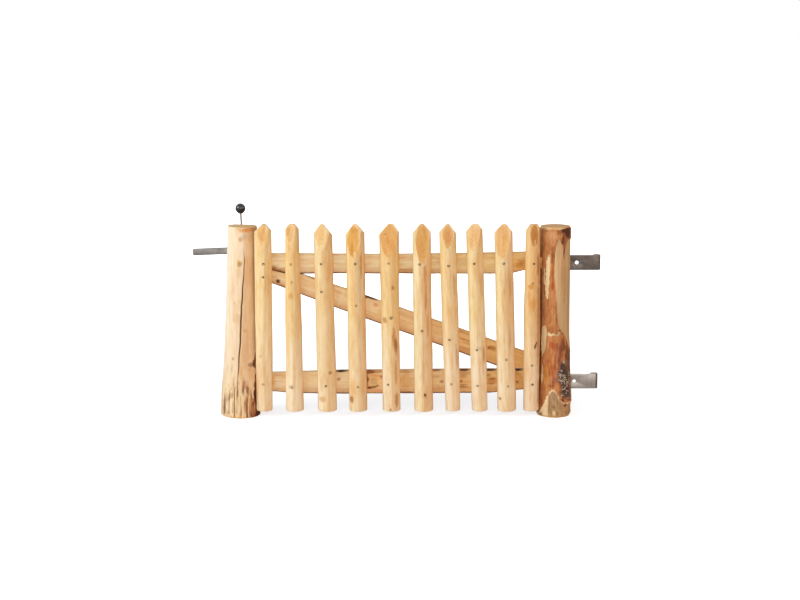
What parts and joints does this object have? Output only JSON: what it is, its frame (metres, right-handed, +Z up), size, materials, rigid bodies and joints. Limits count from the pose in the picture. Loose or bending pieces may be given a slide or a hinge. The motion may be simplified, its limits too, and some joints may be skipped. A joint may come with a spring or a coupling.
{
  "type": "picket gate",
  "caption": "Rustic picket gate leaf of pointed half-round pales on two half-log rails and a brace between round posts, with rolled-eye strap hinges and a drop latch.",
  "frame": {"origin": "on the hinge axis at the underside of the lower hinge eye", "axes": "+Z up along the hinge pins; the pickets face -Y; the latch end is towards -X"},
  "size_m": [1.7746, 0.1761, 0.9223],
  "materials": {
    "peeled_post": "peeled and weathered, dry",
    "bark_post": "rough bark, partly peeled",
    "rail_wood": "split face, dry",
    "picket_wood": "shaved with a drawknife, dry",
    "zinc_steel": "dull zinc",
    "black_plastic": "glossy"
  },
  "bodies": {
    "leaf": {"latch_post": "peeled_post", "hinge_post": "bark_post", "top_rail": "rail_wood", "bottom_rail": "rail_wood", "brace": "rail_wood", "picket_01": "picket_wood", "picket_02": "picket_wood", "picket_03": "picket_wood", "picket_04": "picket_wood", "picket_05": "picket_wood", "picket_06": "picket_wood", "picket_07": "picket_wood", "picket_08": "picket_wood", "picket_09": "picket_wood", "picket_10": "picket_wood", "upper_strap_hinge": "zinc_steel", "lower_strap_hinge": "zinc_steel", "latch_pivot_bolt": "zinc_steel", "latch_spacer": "zinc_steel", "latch_guide": "zinc_steel"},
    "latch": {"latch_bar": "zinc_steel", "latch_rod": "zinc_steel", "ball_knob": "black_plastic"}
  },
  "joints": [
    {"name": "latch_lift", "type": "hinge", "parent": "leaf", "child": "latch", "pos_m": [-1.51317, -0.015, 0.619], "axis": [0, 1, 0], "range_deg": [0, 30]}
  ]
}
